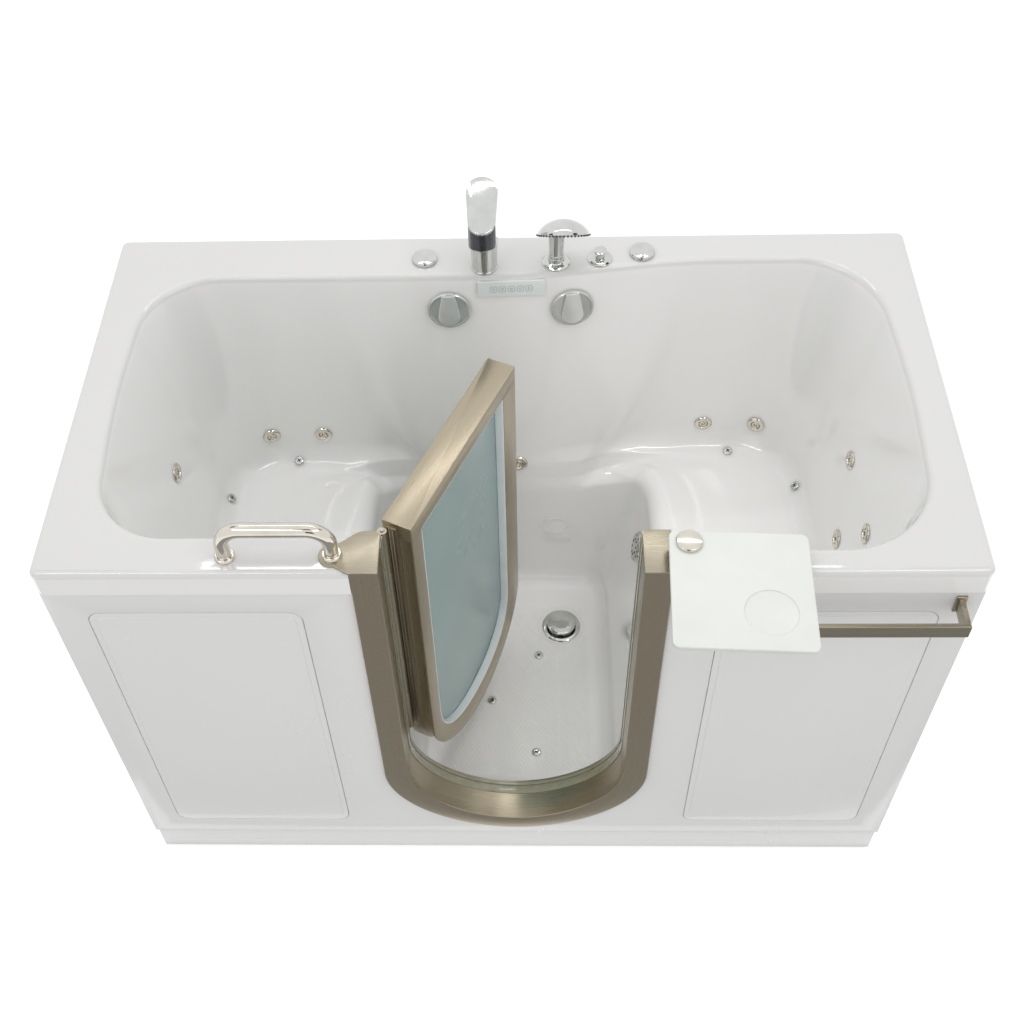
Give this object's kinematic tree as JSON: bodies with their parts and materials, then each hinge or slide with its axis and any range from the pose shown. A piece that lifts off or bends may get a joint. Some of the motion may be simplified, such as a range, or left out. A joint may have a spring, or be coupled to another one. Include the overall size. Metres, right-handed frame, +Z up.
{
  "type": "walk in bathtub with door",
  "caption": "Deep moulded bathtub with facing seats and a hinged U-shaped door in its front, with rails, a swivel tray, taps, a hand shower, jets and lever drains.",
  "frame": {"origin": "on the floor under the middle levelling foot", "axes": "+X along the tub's length, to the right as seen from the front; +Y from the front to the wall behind; +Z up"},
  "size_m": [1.524, 0.9761, 1.2003],
  "materials": {
    "acrylic": "gloss",
    "nickel_frame": "satin",
    "polished_nickel": "polished",
    "chrome": "polished",
    "steel": "satin",
    "rubber": "matt",
    "white_gasket": "matt",
    "frosted_glass": "frosted",
    "control_glass": "gloss",
    "tray": "frosted",
    "brass": "satin",
    "copper_pipe": "satin",
    "white_pipe": "matt",
    "air_hose": "matt",
    "magnet": "satin",
    "foot": "matt",
    "board": "matt",
    "motor": "satin",
    "pump_plastic": "matt",
    "box_plastic": "matt"
  },
  "bodies": {
    "tub": {"tub_shell": "acrylic", "front_apron": "acrylic", "left_end_panel": "acrylic", "right_end_panel": "acrylic", "plinth": "acrylic", "left_access_panel": "acrylic", "right_access_panel": "acrylic", "panel_magnets": "magnet", "door_frame": "nickel_frame", "frame_seal": "rubber", "left_post_cap": "nickel_frame", "right_post_cap": "nickel_frame", "hinge_post_leaf": "nickel_frame", "hinge_pin": "steel", "grab_bar": "polished_nickel", "grab_bar_collars": "polished_nickel", "towel_bar": "nickel_frame", "towel_bar_plates": "nickel_frame", "tray_pivot": "polished_nickel", "spout": "chrome", "valve_bodies": "brass", "shower_holder": "chrome", "diverter_valve": "chrome", "deck_nuts": "brass", "supply_manifold": "copper_pipe", "control_panel": "control_glass", "dial_bodies": "white_pipe", "drain_bodies": "chrome", "waste_pipes": "white_pipe", "water_jets": "chrome", "air_jets": "chrome", "suction_cover": "chrome", "base_side_rails": "steel", "base_long_rails": "steel", "corner_posts": "steel", "seat_rails": "steel", "levelling_feet": "foot", "equipment_boards": "board", "pump_motor": "motor", "pump_housing": "pump_plastic", "air_blower": "pump_plastic", "control_box": "box_plastic", "jet_pipes": "white_pipe", "pump_pipes": "white_pipe", "air_pipes": "air_hose"},
    "door": {"door_panel": "nickel_frame", "door_glass": "frosted_glass", "glazing_gaskets": "white_gasket", "hinge_door_leaf": "nickel_frame"},
    "tray": {"tray_plate": "tray", "tray_knob": "polished_nickel"},
    "left_tap": {"left_handle": "chrome"},
    "right_tap": {"right_handle": "chrome"},
    "diverter": {"diverter_knob": "chrome"},
    "handset": {"hand_shower": "chrome"},
    "left_dial": {"left_drain_dial": "chrome"},
    "right_dial": {"right_drain_dial": "chrome"},
    "left_plug": {"left_drain_plug": "chrome"},
    "right_plug": {"right_drain_plug": "chrome"}
  },
  "joints": [
    {"name": "door_swing", "type": "hinge", "parent": "tub", "child": "door", "pos_m": [-0.203, -0.309, 0.69], "axis": [0, 0, 1], "range_deg": [-65.5, 14]},
    {"name": "tray_swivel", "type": "hinge", "parent": "tub", "child": "tray", "pos_m": [0.285, -0.371, 1.03], "axis": [0, 0, 1], "continuous": true},
    {"name": "left_tap_turn", "type": "hinge", "parent": "tub", "child": "left_tap", "pos_m": [-0.161, 0.336, 1.02], "axis": [0, 0, 1], "range_deg": [0, 90]},
    {"name": "right_tap_turn", "type": "hinge", "parent": "tub", "child": "right_tap", "pos_m": [0.256, 0.348, 1.02], "axis": [0, 0, 1], "range_deg": [0, 90]},
    {"name": "diverter_lift", "type": "slide", "parent": "tub", "child": "diverter", "axis": [0, 0, 1], "range_m": [0, 0.012]},
    {"name": "hand_shower_lift", "type": "slide", "parent": "tub", "child": "handset", "axis": [0, 0, 1], "range_m": [0, 0.12]},
    {"name": "left_dial_turn", "type": "hinge", "parent": "tub", "child": "left_dial", "pos_m": [-0.116, 0.28314, 0.938], "axis": [0, -0.9962, 0.0877], "range_deg": [0, 120]},
    {"name": "right_dial_turn", "type": "hinge", "parent": "tub", "child": "right_dial", "pos_m": [0.122, 0.29329, 0.932], "axis": [0.1269, -0.988, 0.0877], "range_deg": [0, 120]},
    {"name": "left_plug_slide", "type": "slide", "parent": "tub", "child": "left_plug", "axis": [0, 0, 1], "range_m": [-0.009, 0]},
    {"name": "right_plug_slide", "type": "slide", "parent": "tub", "child": "right_plug", "axis": [0, 0, 1], "range_m": [-0.009, 0]}
  ],
  "couplings": [
    {"joint": "left_plug_slide", "follows": "left_dial_turn", "m_per_rad": -0.0042972},
    {"joint": "right_plug_slide", "follows": "right_dial_turn", "m_per_rad": -0.0042972}
  ]
}
